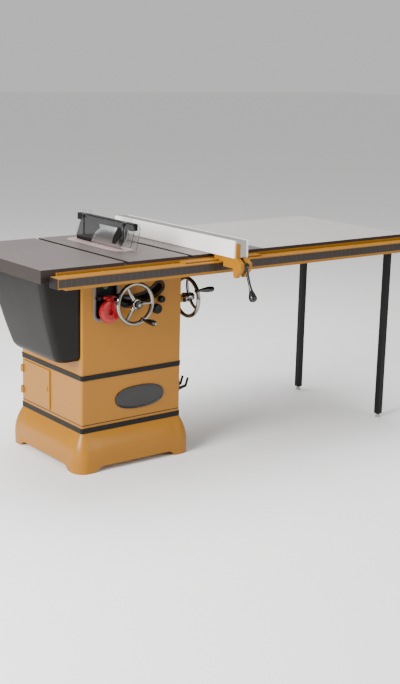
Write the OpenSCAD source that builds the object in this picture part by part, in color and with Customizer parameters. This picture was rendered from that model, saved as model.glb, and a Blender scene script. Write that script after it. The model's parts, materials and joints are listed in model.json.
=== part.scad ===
// Cabinet table saw with a tilting, rising blade, a rip fence and an extension table.
// Origin on the floor under the middle of the cabinet. +X is the operator's right,
// +Y points away from the operator and +Z is up. All sizes are in millimetres.

/* [Table] */
// Height of the table surface above the floor
table_h = 864; // [840:1:900]
// Width of the middle table casting
main_w = 516; // [500:1:560]
// Front to back depth of the tables
table_d = 674; // [650:1:720]
// Distance of the rear edge behind the cabinet's centre
table_back = 262; // [250:1:275]
// Width of each cast wing
wing_w = 258; // [200:1:320]
// Width of the laminate extension table
ext_w = 831; // [650:1:1000]
// Depth of the cast rims
rim_h = 50; // [44:1:54]
// Thickness of the cast table plate
plate_t = 12; // [10:1:12]
// Distance of the mitre slots from the blade
slot_x = 149; // [140:1:165]
// Width of a mitre slot
slot_w = 19.2; // [18:0.1:20]
// Depth of a mitre slot
slot_depth = 9.6; // [8:0.1:10]

/* [Cabinet] */
// Width of the cabinet
cab_w = 476; // [470:1:500]
// Depth of the cabinet
cab_d = 476; // [470:1:490]
// Thickness of the cabinet's sheet steel
sheet_t = 3; // [2:0.5:4]
// Height of the cast plinth
plinth_h = 158; // [130:1:180]
// How far the plinth flares out beyond the cabinet
flare = 38; // [20:1:50]
// Height of the joint between the lower and upper cabinet
waist_z = 381; // [360:1:395]
// Depth of the motor cover at its top
cover_out = 172; // [160:1:185]

/* [Blade] */
// Blade diameter
blade_d = 254; // [240:1:254]
// Blade kerf
kerf = 2.6; // [2.2:0.1:3]
// Arbor diameter
arbor_d = 15.88; // [12:0.01:16]
// Height of the blade above the table
blade_up = 65; // [60:1:66]
// Place of the arbor along the table's depth
arbor_y = -45; // [-50:1:-40]

/* [Handwheels] */
// Outer diameter of the handwheels
wheel_d = 176; // [150:1:180]
// Thickness of the handwheel rim
wheel_rim = 17; // [14:1:18]
// Length of the crank grips
grip_l = 78; // [60:1:85]
// Diameter of the handwheel shafts
shaft_d = 16; // [14:1:18]

/* [Fence] */
// Place of the fence's left face
fence_x = 246; // [230:1:300]
// Width of the fence's steel tube
fence_tube = 50; // [40:1:60]
// Thickness of each fence facing
face_t = 9; // [6:1:12]
// Height of the fence above the table
fence_h = 66; // [55:1:70]
// Depth of the front rail tube
rail_d = 54; // [45:1:60]
// Height of the front rail tube
rail_h = 39; // [34:1:42]
// Left end of the front rail
rail_left = -488; // [-520:1:-440]
// Right end of the front rail
rail_right = 1356; // [1340:1:1400]

/* [Legs] */
// Width of the square extension legs
leg_w = 26; // [22:1:32]

/* [Hidden] */
$fn = 48;

// Clearances: running fits, gaps between moving pieces, and a cut's overrun.
run = 0.05;
gap = 0.3;
eps = 1;

main_x = main_w / 2;
y_front = table_back - table_d;
y_back = table_back;
under_z = table_h - plate_t;
rim_z = table_h - rim_h;
rim_t = 10;
bend_r = 8;
side_x = cab_w / 2;
face_y = cab_d / 2;
wing_x = main_x + wing_w;
ext_x = wing_x + ext_w;

// Blade opening in the main table, with a plate set flush in it.
throat_w = 96;
throat_l = 412;
throat_x = -8;
throat_ledge = 6;
throat_t = 6;
knife_gap_l = -5;
knife_gap_r = 10;

// Arbor, motor and guide posts, all at their places at rest.
blade_r = blade_d / 2;
arbor_z = table_h + blade_up - blade_r;
drop = 70;
motor_y = 35;
motor_z = arbor_z - 105;
motor_r = 75;
pulley_x = -112;
pulley_w = 18;
arbor_pulley_r = 24;
motor_pulley_r = 36;
belt_t = 3;
flange_x = -7;
post_x = -60;
post_r = 12;
post_y = [-125, 35];
sleeve_z = arbor_z - 97;
sleeve_h = 50;

// Trunnions: arcs about a line along the table's surface in the blade's plane.
arc_in = 140;
arc_out = 152;
cradle_front = -212;
cradle_rear = 194;
cradle_t = 14;
worm_z = table_h - 220;
worm_r = 12;
sector_r = 207.5;
cradle_floor = 632;
screw_y = -141;
tilt_y = -185;
raise_x = -32;
raise_z = table_h - 192;
raise_arc = sqrt(pow(raise_x, 2) + pow(table_h - raise_z, 2));
arc_start = atan2(raise_z - table_h, raise_x) - 2;
arc_end = -50;
arc_half = shaft_d / 2 + 8;
wheel_y = -300;
tilt_wheel_x = side_x + 67;

// Rip fence and its rail.
rail_z = rim_z - 11;
rail_back = y_front - 17;
fence_w = fence_tube + 2 * face_t;
fence_cx = fence_x + fence_w / 2;
fence_z = table_h + 2;
fence_front = y_front - 148;
fence_rear = y_back + 8;
head_w = fence_w - 12;
tbar_w = 380;
lever_y = y_front - 178;
lever_z = 839;
lever_pin_r = 5;

// Guard: a bar on the riving knife with a sliding clear shield on each side.
bar_z = 948;
bar_h = 27;
bar_half = 12;
bar_front = -247;
bar_rear = 160;
shield_t = 2.2;
pin_z = 966;
pin_r = 4;
pin_y = [-190, 105];
pin_up = 14;

ext_t = 24;
leg_x = ext_x - 43;
leg_y = [y_front + 57, y_back - 63];
glide_h = 12;
glide_gap = 18;

switch_x0 = -178;
switch_x1 = -74;
switch_z0 = 612;
switch_z1 = 792;
switch_depth = 18;
switch_r = 20;
switch_lip = 8;
paddle_x = (switch_x0 + switch_x1) / 2;
paddle_z = 645;
paddle_r = 46;
paddle_y = -276;
paddle_t = 20;
paddle_pin_z = 700;
paddle_pin_y = -256;
start_z = 740;

cover_top = rim_z - 4;
cover_low = 448;
cover_front = -228;
cover_back = 190;
opening_y0 = -70;
opening_y1 = 118;
opening_z0 = 476;
opening_z1 = 800;

door_y0 = 3;
door_y1 = 216;
door_z0 = 198;
door_z1 = 364;
port_z = 245;
port_r = 50.8;

steel = "silver";
gold = "goldenrod";
dark = "dimgray";
black = "black";

// ---------------------------------------------------------------- shared shapes

// A rectangle with true round corners, centred.
module round_rect(w, d, r) {
    square([w - 2 * r, d], center = true);
    square([w, d - 2 * r], center = true);
    for (sx = [-1, 1], sy = [-1, 1])
        translate([sx * (w / 2 - r), sy * (d / 2 - r)]) circle(r);
}

// A strip with fully round ends, its length along the second axis, centred.
module stadium(w, l) {
    square([w, l - w], center = true);
    for (s = [-1, 1]) translate([0, s * (l - w) / 2]) circle(w / 2);
}

// A box from its lowest to its highest corner.
module box(a, b) {
    translate(a) cube([b[0] - a[0], b[1] - a[1], b[2] - a[2]]);
}

// A cylinder along X or Y that starts at p.
module along_x(p, r, l) {
    translate(p) rotate([0, 90, 0]) cylinder(r = r, h = l);
}

module along_y(p, r, l) {
    translate(p) rotate([-90, 0, 0]) cylinder(r = r, h = l);
}

// A plate in the XZ plane, from y to y + t, drawn with Z as the second axis.
module plate_xz(y, t) {
    translate([0, y + t, 0]) rotate([90, 0, 0]) linear_extrude(t) children();
}

// A plate in the YZ plane, from x to x + t, drawn with Y and Z as its axes.
module plate_yz(x, t) {
    translate([x, 0, 0]) rotate([90, 0, 90]) linear_extrude(t) children();
}

// A sector of a ring about the origin from angle a to angle b, in degrees.
module ring_sector(r1, r2, a, b) {
    reach = r2 * 1.6;
    step = (b - a) / 4;
    difference() {
        intersection() {
            circle(r2);
            polygon(concat([[0, 0]],
                [for (i = [0:4]) [reach * cos(a + i * step), reach * sin(a + i * step)]]));
        }
        circle(r1);
    }
}

// A slot with round ends that follows an arc about the origin.
module arc_slot(r, half, a, b) {
    ring_sector(r - half, r + half, a, b);
    for (t = [a, b]) translate([r * cos(t), r * sin(t)]) circle(half);
}

// A cast handwheel about the Z axis, its hub nose up, with a stud for the grip at angle t.
module handwheel(t) {
    rim_r = (wheel_d - wheel_rim) / 2;
    stud_r = rim_r - 3;
    difference() {
        union() {
            rotate_extrude() translate([rim_r, 0]) circle(wheel_rim / 2);
            translate([0, 0, -18]) cylinder(r = 21, h = 36);
            for (s = [0:2]) rotate([0, 0, t + 60 + s * 120])
                translate([15, 0, 2]) rotate([0, 90, 0]) cylinder(r = 6.5, h = rim_r - 15);
            rotate([0, 0, t]) translate([stud_r, 0, -7]) cylinder(r = 9, h = 15);
        }
        translate([0, 0, -18 - eps]) cylinder(d = shaft_d, h = 36 + 2 * eps);
    }
    rotate([0, 0, t]) translate([stud_r, 0, 8]) cylinder(r = 4, h = grip_l + 1);
    rotate([0, 0, t]) translate([stud_r, 0, 8 + grip_l + 1]) cylinder(r = 5.5, h = 2);
}

// A waisted crank grip with a running bore, standing on the wheel's stud.
module grip(t) {
    stud_r = (wheel_d - wheel_rim) / 2 - 3;
    rotate([0, 0, t]) translate([stud_r, 0, 8.5]) rotate_extrude()
        polygon(concat([[4 + run, 0]],
            [for (i = [0:10]) [8.5 + 3.5 * sin(-60 + 21 * i), (grip_l - 0.5) * i / 10]],
            [[4 + run, grip_l - 0.5]]));
}

// A lobed lock knob on the hub nose.
module lock_knob() {
    difference() {
        translate([0, 0, 18 + gap]) cylinder(r = 17, h = 13);
        for (s = [0:5]) rotate([0, 0, s * 60]) translate([21, 0, 17]) cylinder(r = 6.5, h = 16);
        translate([0, 0, 17]) cylinder(r = 5 + run, h = 10);
    }
}

// ---------------------------------------------------------------- cabinet and base

module plinth_solid() {
    profile = [[0, 0.96], [66, 1], [96, 0.9], [128, 0.58], [plinth_h, 0.05]];
    hull() for (p = profile) translate([0, 0, p[0] - (p[0] > 0 ? 1 : 0)]) linear_extrude(1)
        round_rect(cab_w + 2 * flare * p[1], cab_d + 2 * flare * p[1], 12 + 40 * p[1], $fn = 32);
}

module plinth() {
    foot_gap = 22;
    plinth_lip = 12;
    color(gold) difference() {
        plinth_solid();
        cube([cab_w - 2 * plinth_lip, cab_d - 2 * plinth_lip, 2 * plinth_h + 40], center = true);
        for (q = [0, 90]) rotate([0, 0, q])
            translate([0, 400, 0]) rotate([90, 0, 0]) linear_extrude(800)
                polygon([[-195, -eps], [195, -eps], [172, foot_gap], [-172, foot_gap]]);
    }
}

module lower_cabinet() {
    color(gold) difference() {
        translate([0, 0, plinth_h]) linear_extrude(waist_z - plinth_h) round_rect(cab_w, cab_d, bend_r);
        translate([0, 0, plinth_h - eps]) linear_extrude(waist_z - plinth_h + 2 * eps)
            round_rect(cab_w - 2 * sheet_t, cab_d - 2 * sheet_t, bend_r - sheet_t);
        along_y([0, face_y - 2 * sheet_t, port_z], port_r + gap, 4 * sheet_t);
        box([-side_x - eps, door_y0 + 8, door_z0 + 8], [-side_x + 2 * sheet_t, door_y1 - 8, door_z1 - 8]);
    }
}

// The switch's outline, grown on every side, as a plate from y to y + t.
module switch_plate(y, t, grow) {
    plate_xz(y, t) translate([(switch_x0 + switch_x1) / 2, (switch_z0 + switch_z1) / 2])
        round_rect(switch_x1 - switch_x0 + 2 * grow, switch_z1 - switch_z0 + 2 * grow, switch_r + grow);
}

module upper_cabinet() {
    vent_x = 150;
    color(gold) difference() {
        union() {
            translate([0, 0, waist_z]) linear_extrude(rim_z - waist_z) round_rect(cab_w, cab_d, bend_r);
            along_x([side_x - sheet_t, tilt_y, worm_z], 24, sheet_t + 5);
            along_x([side_x, tilt_y, worm_z], 16, 34);
        }
        translate([0, 0, waist_z - eps]) linear_extrude(rim_z - waist_z + 2 * eps)
            round_rect(cab_w - 2 * sheet_t, cab_d - 2 * sheet_t, bend_r - sheet_t);
        box([-side_x - eps, opening_y0, opening_z0], [-side_x + 2 * sheet_t, opening_y1, opening_z1]);
        switch_plate(-face_y - eps, 2 * sheet_t + eps, 0);
        translate([0, 0, table_h]) plate_xz(-face_y - eps, 3 * sheet_t)
            arc_slot(raise_arc, arc_half, arc_start, arc_end);
        along_x([side_x - 2 * sheet_t, tilt_y, worm_z], shaft_d / 2 + run, 60);
        for (s = [-1, 1], t = [0:7])
            box([s * vent_x - 45, face_y - 2 * sheet_t, 430 + t * 16],
                [s * vent_x + 45, face_y + eps, 436 + t * 16]);
    }
}

module band(z, h, out) {
    translate([0, 0, z]) linear_extrude(h) difference() {
        round_rect(cab_w + 2 * out, cab_d + 2 * out, bend_r + out);
        round_rect(cab_w, cab_d, bend_r);
    }
}

module trim_bands() {
    color(black) {
        band(plinth_h, 21, 2.5);
        difference() {
            band(plinth_h + 31, 3, 0.6);
            along_y([0, face_y - eps, port_z], port_r + 13, 2 * sheet_t);
        }
        band(waist_z - 8, 16, 2.5);
    }
    color(gold) band(waist_z + 8, 4, 3.5);
}

module front_badge() {
    badge_w = 236;
    badge_h = 96;
    inset = 24;
    color(black) plate_xz(-face_y - 5, 5) translate([35, 273]) {
        square([badge_w - 2 * inset, badge_h], center = true);
        square([badge_w - 2, badge_h - 2 * inset], center = true);
        for (sx = [-1, 1], sz = [-1, 1])
            translate([sx * (badge_w / 2 - inset - 1), sz * (badge_h / 2 - inset)]) circle(inset);
    }
}

module dust_chute() {
    half = side_x - sheet_t;
    wall_y = face_y - bend_r - eps;
    color(gold) plate_yz(-half, 2 * half)
        polygon([[-wall_y, 330], [-wall_y, 334], [face_y - 60, 182], [wall_y, 182],
            [wall_y, 178], [face_y - 62, 178]]);
}

module dust_port() {
    color(black) difference() {
        union() {
            along_y([0, face_y - 6, port_z], port_r, 62);
            along_y([0, face_y, port_z], port_r + 12, 4);
        }
        along_y([0, face_y - 6 - eps, port_z], port_r - 3, 62 + 2 * eps);
        for (s = [0:3])
            translate([0, 0, port_z]) rotate([0, 45 + 90 * s, 0])
                along_y([port_r + 7, face_y - eps, 0], 2.2, 6);
    }
}

module storage_hooks() {
    color(black) for (y = [-222, -186]) {
        plate_yz(side_x, 3) translate([y, 286]) square([20, 52], center = true);
        translate([0, y - 4, 0]) plate_xz(0, 8)
            polygon([[side_x + 3, 262], [side_x + 44, 272], [side_x + 56, 308], [side_x + 50, 310],
                [side_x + 40, 280], [side_x + 3, 274]]);
    }
}

module arc_bezel() {
    color(black) translate([0, 0, table_h]) plate_xz(-face_y - 4, 4) difference() {
        arc_slot(raise_arc, arc_half + 10, arc_start, arc_end);
        arc_slot(raise_arc, arc_half + 1, arc_start, arc_end);
    }
}

module stop_adjusters() {
    color(black) for (p = [[108, 628, 20], [129, 665, 14]]) {
        along_y([p[0], -face_y - 24, p[1]], p[2], 20);
        along_y([p[0], -face_y - 4, p[1]], 8, 4);
    }
}

module switch_box() {
    wall = 3;
    lug = 7;
    x0 = switch_x0 + gap + wall;
    x1 = switch_x1 - gap - wall;
    back = -face_y + switch_depth;
    color(dark) difference() {
        union() {
            switch_plate(-face_y, switch_depth, -gap);
            switch_plate(-face_y - 3, 3, switch_lip);
            for (x = [x0 - 1, x1 - lug])
                box([x, paddle_pin_y - lug, paddle_pin_z - lug], [x + lug + 1, -face_y, paddle_pin_z + lug]);
        }
        difference() {
            switch_plate(-face_y - 4, switch_depth + 4 - wall, -gap - wall);
            for (x = [x0 - 1, x1 - lug])
                box([x, paddle_pin_y - lug, paddle_pin_z - lug], [x + lug + 1, back, paddle_pin_z + lug]);
        }
        along_y([paddle_x, back - wall - eps, start_z], 8 + run, wall + 2 * eps);
    }
    color(steel) along_x([x0 + lug - 1, paddle_pin_y, paddle_pin_z], 3, x1 - x0 - 2 * lug + 2);
}

module stop_paddle() {
    color("firebrick") difference() {
        union() {
            along_y([paddle_x, paddle_y, paddle_z], paddle_r, paddle_t);
            box([paddle_x - 14, paddle_y + 4, paddle_z + 30],
                [paddle_x + 14, paddle_pin_y + 6, paddle_pin_z]);
            along_x([paddle_x - 26, paddle_pin_y, paddle_pin_z], 6, 52);
        }
        along_y([paddle_x, paddle_y - eps, paddle_z], 12, 13);
        along_x([paddle_x - 27, paddle_pin_y, paddle_pin_z], 3 + run, 54);
    }
}

module start_button() {
    back = -face_y + switch_depth;
    color("darkgreen") {
        along_y([paddle_x, back - 14, start_z], 12, 6);
        along_y([paddle_x, back - 8, start_z], 8, 14);
    }
}

module cord_gland() {
    gland_x = -20;
    gland_z = 420;
    color(black) difference() {
        union() {
            along_y([gland_x, face_y, gland_z], 13, 6);
            along_y([gland_x, face_y + 6, gland_z], 9, 16);
        }
        along_y([gland_x, face_y - eps, gland_z], 5, 25);
    }
}

module side_hinges() {
    pin_x = -side_x - 9;
    color(dark) {
        for (z = cover_hinge_z) {
            translate([pin_x, cover_back + 10, z - 20]) cylinder(r = 3, h = 40);
            box([pin_x, cover_back + 7, z - 22], [-side_x, cover_back + 13, z - 20]);
            box([pin_x, cover_back + 7, z + 20], [-side_x, cover_back + 13, z + 22]);
        }
        for (z = [235, 327]) {
            translate([pin_x, door_y1 + 8, z - 14]) cylinder(r = 2.5, h = 28);
            box([pin_x, door_y1 + 5, z - 16], [-side_x, door_y1 + 11, z - 14]);
            box([pin_x, door_y1 + 5, z + 14], [-side_x, door_y1 + 11, z + 16]);
        }
    }
}

// The cover's bulge: deep under the wing, drawn in towards its lower and rear edges.
module cover_bulge(in) {
    x_in = -side_x - 1;
    r = 30 - in;
    low_out = cover_out - 74;
    mid_out = cover_out - 46;
    mid_h = 100;
    intersection() {
        hull() for (end = [[cover_front, 1, 1], [cover_back, -1, 0]]) {
            y = end[0] + end[1] * (in + r);
            y_low = end[2] ? y + 4 : y - 62;
            for (x = [x_in - cover_out + in + r, x_in])
                translate([x, y, cover_top - in - r]) sphere(r, $fn = 24);
            translate([x_in - mid_out + in + r, end[2] ? y + 2 : y - 36, cover_low + mid_h])
                sphere(r, $fn = 24);
            for (x = [x_in - low_out + in + r, x_in])
                translate([x, y_low, cover_low + in + r]) sphere(r, $fn = 24);
        }
        box([-500, -400, 0], [x_in + (in > 0 ? 1 : 0), 400, 900]);
    }
}

cover_hinge_z = [660, 762];

module motor_cover() {
    pin_x = -side_x - 9;
    color(black) difference() {
        union() {
            cover_bulge(0);
            for (z = cover_hinge_z) {
                translate([pin_x, cover_back + 10, z - 19]) cylinder(r = 6, h = 38);
                box([pin_x - 6, cover_back - 60, z - 19], [pin_x + 2, cover_back + 10, z + 19]);
            }
        }
        cover_bulge(4);
        for (z = cover_hinge_z) translate([pin_x, cover_back + 10, z - 30]) cylinder(r = 3 + run, h = 60);
    }
}

module clean_out_door() {
    pin_x = -side_x - 9;
    color(gold) difference() {
        union() {
            box([-side_x - 5, door_y0, door_z0], [-side_x - gap, door_y1, door_z1]);
            for (z = [235, 327]) {
                translate([pin_x, door_y1 + 8, z - 13]) cylinder(r = 5, h = 26);
                box([pin_x - 2, door_y1 - 6, z - 13], [-side_x - 3, door_y1 + 6, z + 13]);
            }
            along_x([-side_x - 8, door_y0 + 20, (door_z0 + door_z1) / 2], 9, 4);
        }
        for (z = [235, 327]) translate([pin_x, door_y1 + 8, z - 30]) cylinder(r = 2.5 + run, h = 60);
    }
}

// ---------------------------------------------------------------- tables

module rim_frame(x0, x1) {
    difference() {
        box([x0, y_front, rim_z], [x1, y_back, table_h]);
        box([x0 + rim_t, y_front + rim_t, rim_z - eps], [x1 - rim_t, y_back - rim_t, under_z]);
    }
}

module main_table() {
    hole_w = throat_w - 2 * throat_ledge;
    end_w = 52;
    boss = 22;
    color("slategray") difference() {
        union() {
            rim_frame(-main_x, main_x);
            for (sx = [-1, 1], sy = [-1, 1])
                box([sx * (side_x - boss) - boss, sy * (face_y - boss) - boss, rim_z],
                    [sx * (side_x - boss) + boss, sy * (face_y - boss) + boss, under_z]);
            for (s = [-1, 1])
                box([s * slot_x - 19, y_front, rim_z + 26], [s * slot_x + 19, y_back, under_z]);
        }
        for (s = [-1, 1])
            box([s * slot_x - slot_w / 2, y_front - eps, table_h - slot_depth],
                [s * slot_x + slot_w / 2, y_back + eps, table_h + eps]);
        translate([throat_x, 0, table_h - throat_t]) linear_extrude(throat_t + eps)
            stadium(throat_w + 2 * gap, throat_l + 2 * gap);
        translate([throat_x, 0, rim_z]) linear_extrude(rim_h) {
            square([hole_w, throat_l - throat_w + 4 * throat_ledge], center = true);
            square([end_w, throat_l - 32], center = true);
        }
    }
}

module wing(x0, x1) {
    color("slategray") {
        rim_frame(x0, x1);
        for (i = [1, 2]) box([x0 + rim_t, y_front + i * table_d / 3 - 4, rim_z + 12],
            [x1 - rim_t, y_front + i * table_d / 3 + 4, under_z]);
    }
}

module left_wing() wing(-wing_x, -main_x);

module right_wing() wing(main_x, wing_x);

module throat_plate() {
    color("rosybrown") translate([throat_x, 0, table_h - throat_t]) difference() {
        linear_extrude(throat_t - 0.2) stadium(throat_w, throat_l);
        box([knife_gap_l - throat_x, arbor_y - blade_r - 6, -eps], [knife_gap_r - throat_x, 188, throat_t]);
        for (s = [-1, 1])
            translate([0, s * (throat_l / 2 - 20), -eps]) cylinder(r = 7, h = throat_t + 2 * eps);
    }
}

module extension_top() {
    color("lightgray") box([wing_x, y_front, table_h - ext_t], [ext_x, y_back, table_h]);
}

module extension_frame() {
    top = table_h - ext_t;
    low = top - 46;
    color(black) difference() {
        box([wing_x, y_front + 24, low], [ext_x - 24, y_back - 24, top]);
        box([wing_x + 20, y_front + 44, low - eps], [(wing_x + ext_x) / 2 - 10, y_back - 44, top + eps]);
        box([(wing_x + ext_x) / 2 + 10, y_front + 44, low - eps], [ext_x - 44, y_back - 44, top + eps]);
        for (y = leg_y)
            box([leg_x - leg_w / 2, y - leg_w / 2, low - eps],
                [leg_x + leg_w / 2, y + leg_w / 2, top + eps]);
    }
}

module extension_legs() {
    color(black) for (y = leg_y) difference() {
        box([leg_x - leg_w / 2, y - leg_w / 2, glide_gap],
            [leg_x + leg_w / 2, y + leg_w / 2, table_h - ext_t]);
        translate([leg_x, y, glide_gap - eps]) cylinder(r = 4, h = 30);
    }
}

module leg_glides() {
    color(steel) for (y = leg_y) translate([leg_x, y, 0]) {
        cylinder(r = 11, h = glide_h);
        cylinder(r = 4, h = glide_gap + 25);
    }
}

// ---------------------------------------------------------------- rails and fence

module rail_angle() {
    bottom = rail_z - 6;
    color(gold) {
        difference() {
            box([rail_left + 34, y_front - 5, bottom], [rail_right - 20, y_front, table_h - 13]);
            for (x = [-420:160:1300]) along_y([x, y_front - 6, rim_z + 20], 4.5, 7);
        }
        box([rail_left + 34, rail_back - rail_d, bottom], [rail_right - 20, y_front - 5, rail_z]);
    }
}

module rail_tube() {
    color(gold) difference() {
        box([rail_left, rail_back - rail_d, rail_z], [rail_right, rail_back, rail_z + rail_h]);
        box([rail_left - eps, rail_back - rail_d + 4, rail_z + 4],
            [rail_right + eps, rail_back - 4, rail_z + rail_h - 4]);
    }
}

module rail_caps() {
    color(black) for (x = [rail_left - 3, rail_right])
        box([x, rail_back - rail_d, rail_z], [x + 3, rail_back, rail_z + rail_h]);
}

module rail_tape() {
    color("saddlebrown") box([rail_left + 3, rail_back - rail_d - 0.8, rail_z + 5],
        [rail_right - 6, rail_back - rail_d, rail_z + rail_h - 4]);
}

module rear_rail() {
    color(gold) {
        box([rail_left + 180, y_back, rim_z + 4], [ext_x, y_back + 5, table_h - 8]);
        box([rail_left + 180, y_back + 5, rim_z + 4], [ext_x, y_back + 45, rim_z + 9]);
    }
}

module table_bolts() {
    color(steel) for (x = [-420:160:1300]) {
        along_y([x, y_front - 8, rim_z + 20], 7, 3);
        along_y([x, y_front - 5, rim_z + 20], 4.5, 5);
    }
}

module fence_beam() {
    x0 = fence_x + face_t;
    x1 = x0 + fence_tube;
    color("gainsboro") difference() {
        box([x0, fence_front, fence_z], [x1, fence_rear, fence_z + fence_h]);
        box([x0 + 3, fence_front + 4, fence_z + 3], [x1 - 3, fence_rear - 3, fence_z + fence_h - 3]);
    }
}

module fence_faces() {
    color("whitesmoke") for (x = [fence_x, fence_x + face_t + fence_tube])
        box([x, fence_front, fence_z - 0.5], [x + face_t, fence_rear, fence_z + fence_h]);
}

module fence_head() {
    top = rail_z + rail_h + gap;
    hang = rail_back + gap;
    cheek_z = rail_z - 14;
    cheek = 18;
    x0 = fence_cx - head_w / 2;
    x1 = x0 + head_w;
    color(gold) difference() {
        union() {
            box([fence_cx - tbar_w / 2, hang, top], [fence_cx + tbar_w / 2, y_front - 6, top + 6]);
            box([fence_cx - tbar_w / 2, rail_back - 30, top], [fence_cx + tbar_w / 2, hang, top + 6]);
            box([fence_cx - tbar_w / 2, hang, top - 28], [fence_cx + tbar_w / 2, hang + 5, top]);
            box([x0, rail_back - rail_d - 60, top], [x1, hang, fence_z - 0.5]);
            for (x = [x0, x1 - cheek])
                plate_yz(x, cheek) polygon([[fence_front - 6, fence_z - 0.5],
                    [fence_front - 34, lever_z + 8],
                    [fence_front - 36, lever_z - 12], [fence_front - 6, cheek_z],
                    [fence_front + 8, cheek_z], [fence_front + 14, top - 18],
                    [rail_back - rail_d - 3, top - 18], [rail_back - rail_d - 3, top + 4],
                    [rail_back - rail_d, top + 4], [rail_back - rail_d, fence_z - 0.5]]);
            box([x0, fence_front - 6, fence_z - 0.5], [x0 + 20, fence_front, fence_z + 54]);
        }
        box([x0 + cheek, lever_y - 50, cheek_z - eps], [x1 - cheek, rail_back - rail_d - 3, fence_z - 6]);
    }
    color(steel) along_x([x0, lever_y, lever_z], lever_pin_r, head_w);
}

module fence_lever() {
    end = [0, lever_y - 52, lever_z - 118];
    color(black) difference() {
        union() {
            along_x([fence_cx - 9, lever_y, lever_z], 11, 18);
            hull() {
                translate([fence_cx, lever_y - 4, lever_z - 6]) sphere(7, $fn = 20);
                translate([fence_cx, end[1] + 10, end[2] + 24]) sphere(6, $fn = 20);
            }
            hull() {
                translate([fence_cx, end[1] + 12, end[2] + 26]) sphere(7, $fn = 20);
                translate([fence_cx, end[1], end[2]]) sphere(17, $fn = 24);
            }
        }
        along_x([fence_cx - 12, lever_y, lever_z], lever_pin_r + run, 24);
    }
}

// ---------------------------------------------------------------- tilting and rising parts

module trunnion_brackets() {
    a0 = -140;
    a1 = -12;
    lug_h = 102;
    color(dark) for (s = [[cradle_front - 7, 6], [cradle_rear + cradle_t + 1, 6]])
        translate([0, 0, table_h]) {
            plate_xz(s[0], s[1]) difference() {
                ring_sector(arc_in - 16, arc_out + 10, a0, a1);
                translate([-2 * arc_out, -plate_t]) square([4 * arc_out, 2 * arc_out]);
            }
            plate_xz(s[0], s[1]) for (x = [-112, 112])
                translate([x - 16, -lug_h]) square([32, lug_h - plate_t]);
            plate_xz(s[0] < 0 ? s[0] + s[1] : s[0] - 6, 6)
                ring_sector(arc_in + gap, arc_out - gap, a0, a1 - 8);
        }
}

// An end plate of the cradle: an arc that hangs in the trunnion, and a foot for the floor.
module cradle_plate(y, foot_r) {
    translate([0, 0, table_h]) plate_xz(y, cradle_t) {
        ring_sector(112, arc_out, -128, -70);
        ring_sector(arc_out - 2, foot_r, -124, -88);
    }
}

module trunnion_cradle() {
    floor_t = 14;
    inner = cradle_front + cradle_t;
    step_y = -172;
    color(dark) difference() {
        union() {
            cradle_plate(cradle_front, 226);
            cradle_plate(cradle_rear, 262);
            box([-84, step_y, cradle_floor - floor_t], [-36, cradle_rear, cradle_floor]);
            box([-78, inner, table_h - 148], [-50, step_y + 12, table_h - 120]);
            box([-78, step_y, cradle_floor - floor_t], [-50, step_y + 12, table_h - 120]);
        }
        for (y = [cradle_front - eps, cradle_rear + cradle_t - 6])
            translate([0, 0, table_h]) plate_xz(y, 6 + eps) ring_sector(arc_in, arc_out, -150, -40);
        along_y([raise_x, cradle_front - eps, raise_z], shaft_d / 2 + run, cradle_t + 2 * eps);
        for (y = post_y) translate([post_x, y, cradle_floor - floor_t - eps]) cylinder(r = post_r, h = 60);
    }
}

module tilt_sector() {
    teeth = 26;
    y0 = cradle_front + cradle_t;
    color(steel) difference() {
        translate([0, 0, table_h]) plate_xz(y0, 12) ring_sector(170, sector_r, -142, -84);
        for (i = [0:teeth - 1]) translate([0, 0, table_h]) rotate([0, 140.8 - i * 2.2, 0])
            translate([sector_r, y0 - eps, 0]) rotate([-90, 0, 0]) cylinder(r = 2.4, h = 14);
        along_y([raise_x, y0 - eps, raise_z], shaft_d / 2 + 1, 14);
    }
}

module guide_posts() {
    color(steel) for (y = post_y) translate([post_x, y, cradle_floor - 14])
        cylinder(r = post_r, h = 172);
}

module arbor_carriage() {
    boss_x0 = -92;
    boss_x1 = -22;
    arm_y = motor_y + 43;
    low = sleeve_z;
    top = sleeve_z + sleeve_h;
    color(dark) difference() {
        union() {
            for (y = post_y) translate([post_x, y, low]) cylinder(r = 20, h = sleeve_h);
            box([post_x - 14, post_y[0], low], [post_x + 14, arm_y + 22, low + 36]);
            along_x([boss_x0, arbor_y, arbor_z], 31, boss_x1 - boss_x0);
            box([post_x - 14, arbor_y - 28, low + 20], [post_x + 14, arbor_y + 28, arbor_z]);
            box([-150, arm_y, low], [post_x - 14, arm_y + 22, low + 36]);
            box([post_x + 14, arm_y, low + 8], [-30, 178, low + 36]);
            box([-30, 140, low + 8], [-1.25, 178, low + 36]);
            translate([raise_x, screw_y, low + 28]) cylinder(r = 12, h = 22);
            box([post_x, screw_y - 2, low + 28], [raise_x - 6, screw_y + 16, top]);
        }
        for (y = post_y) translate([post_x, y, low - eps]) cylinder(r = post_r + run, h = sleeve_h + 60);
        along_x([boss_x0 - eps, arbor_y, arbor_z], 20, 90);
        translate([raise_x, screw_y, low]) cylinder(r = 6 + run, h = 80);
    }
}

module arbor_bearings() {
    color(steel) for (x = [-90, -38]) difference() {
        along_x([x, arbor_y, arbor_z], 20, 14);
        along_x([x - eps, arbor_y, arbor_z], arbor_d / 2 + 2 + run, 16);
    }
}

module arbor_shaft() {
    color(steel) {
        along_x([pulley_x - pulley_w, arbor_y, arbor_z], arbor_d / 2 + 2, flange_x - pulley_x + pulley_w);
        along_x([flange_x, arbor_y, arbor_z], arbor_d / 2, 27);
    }
}

module arbor_pulley() {
    color(dark) difference() {
        along_x([pulley_x - pulley_w, arbor_y, arbor_z], arbor_pulley_r, pulley_w);
        along_x([pulley_x - pulley_w - eps, arbor_y, arbor_z], arbor_d / 2 + 2, pulley_w + 2 * eps);
    }
}

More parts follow.
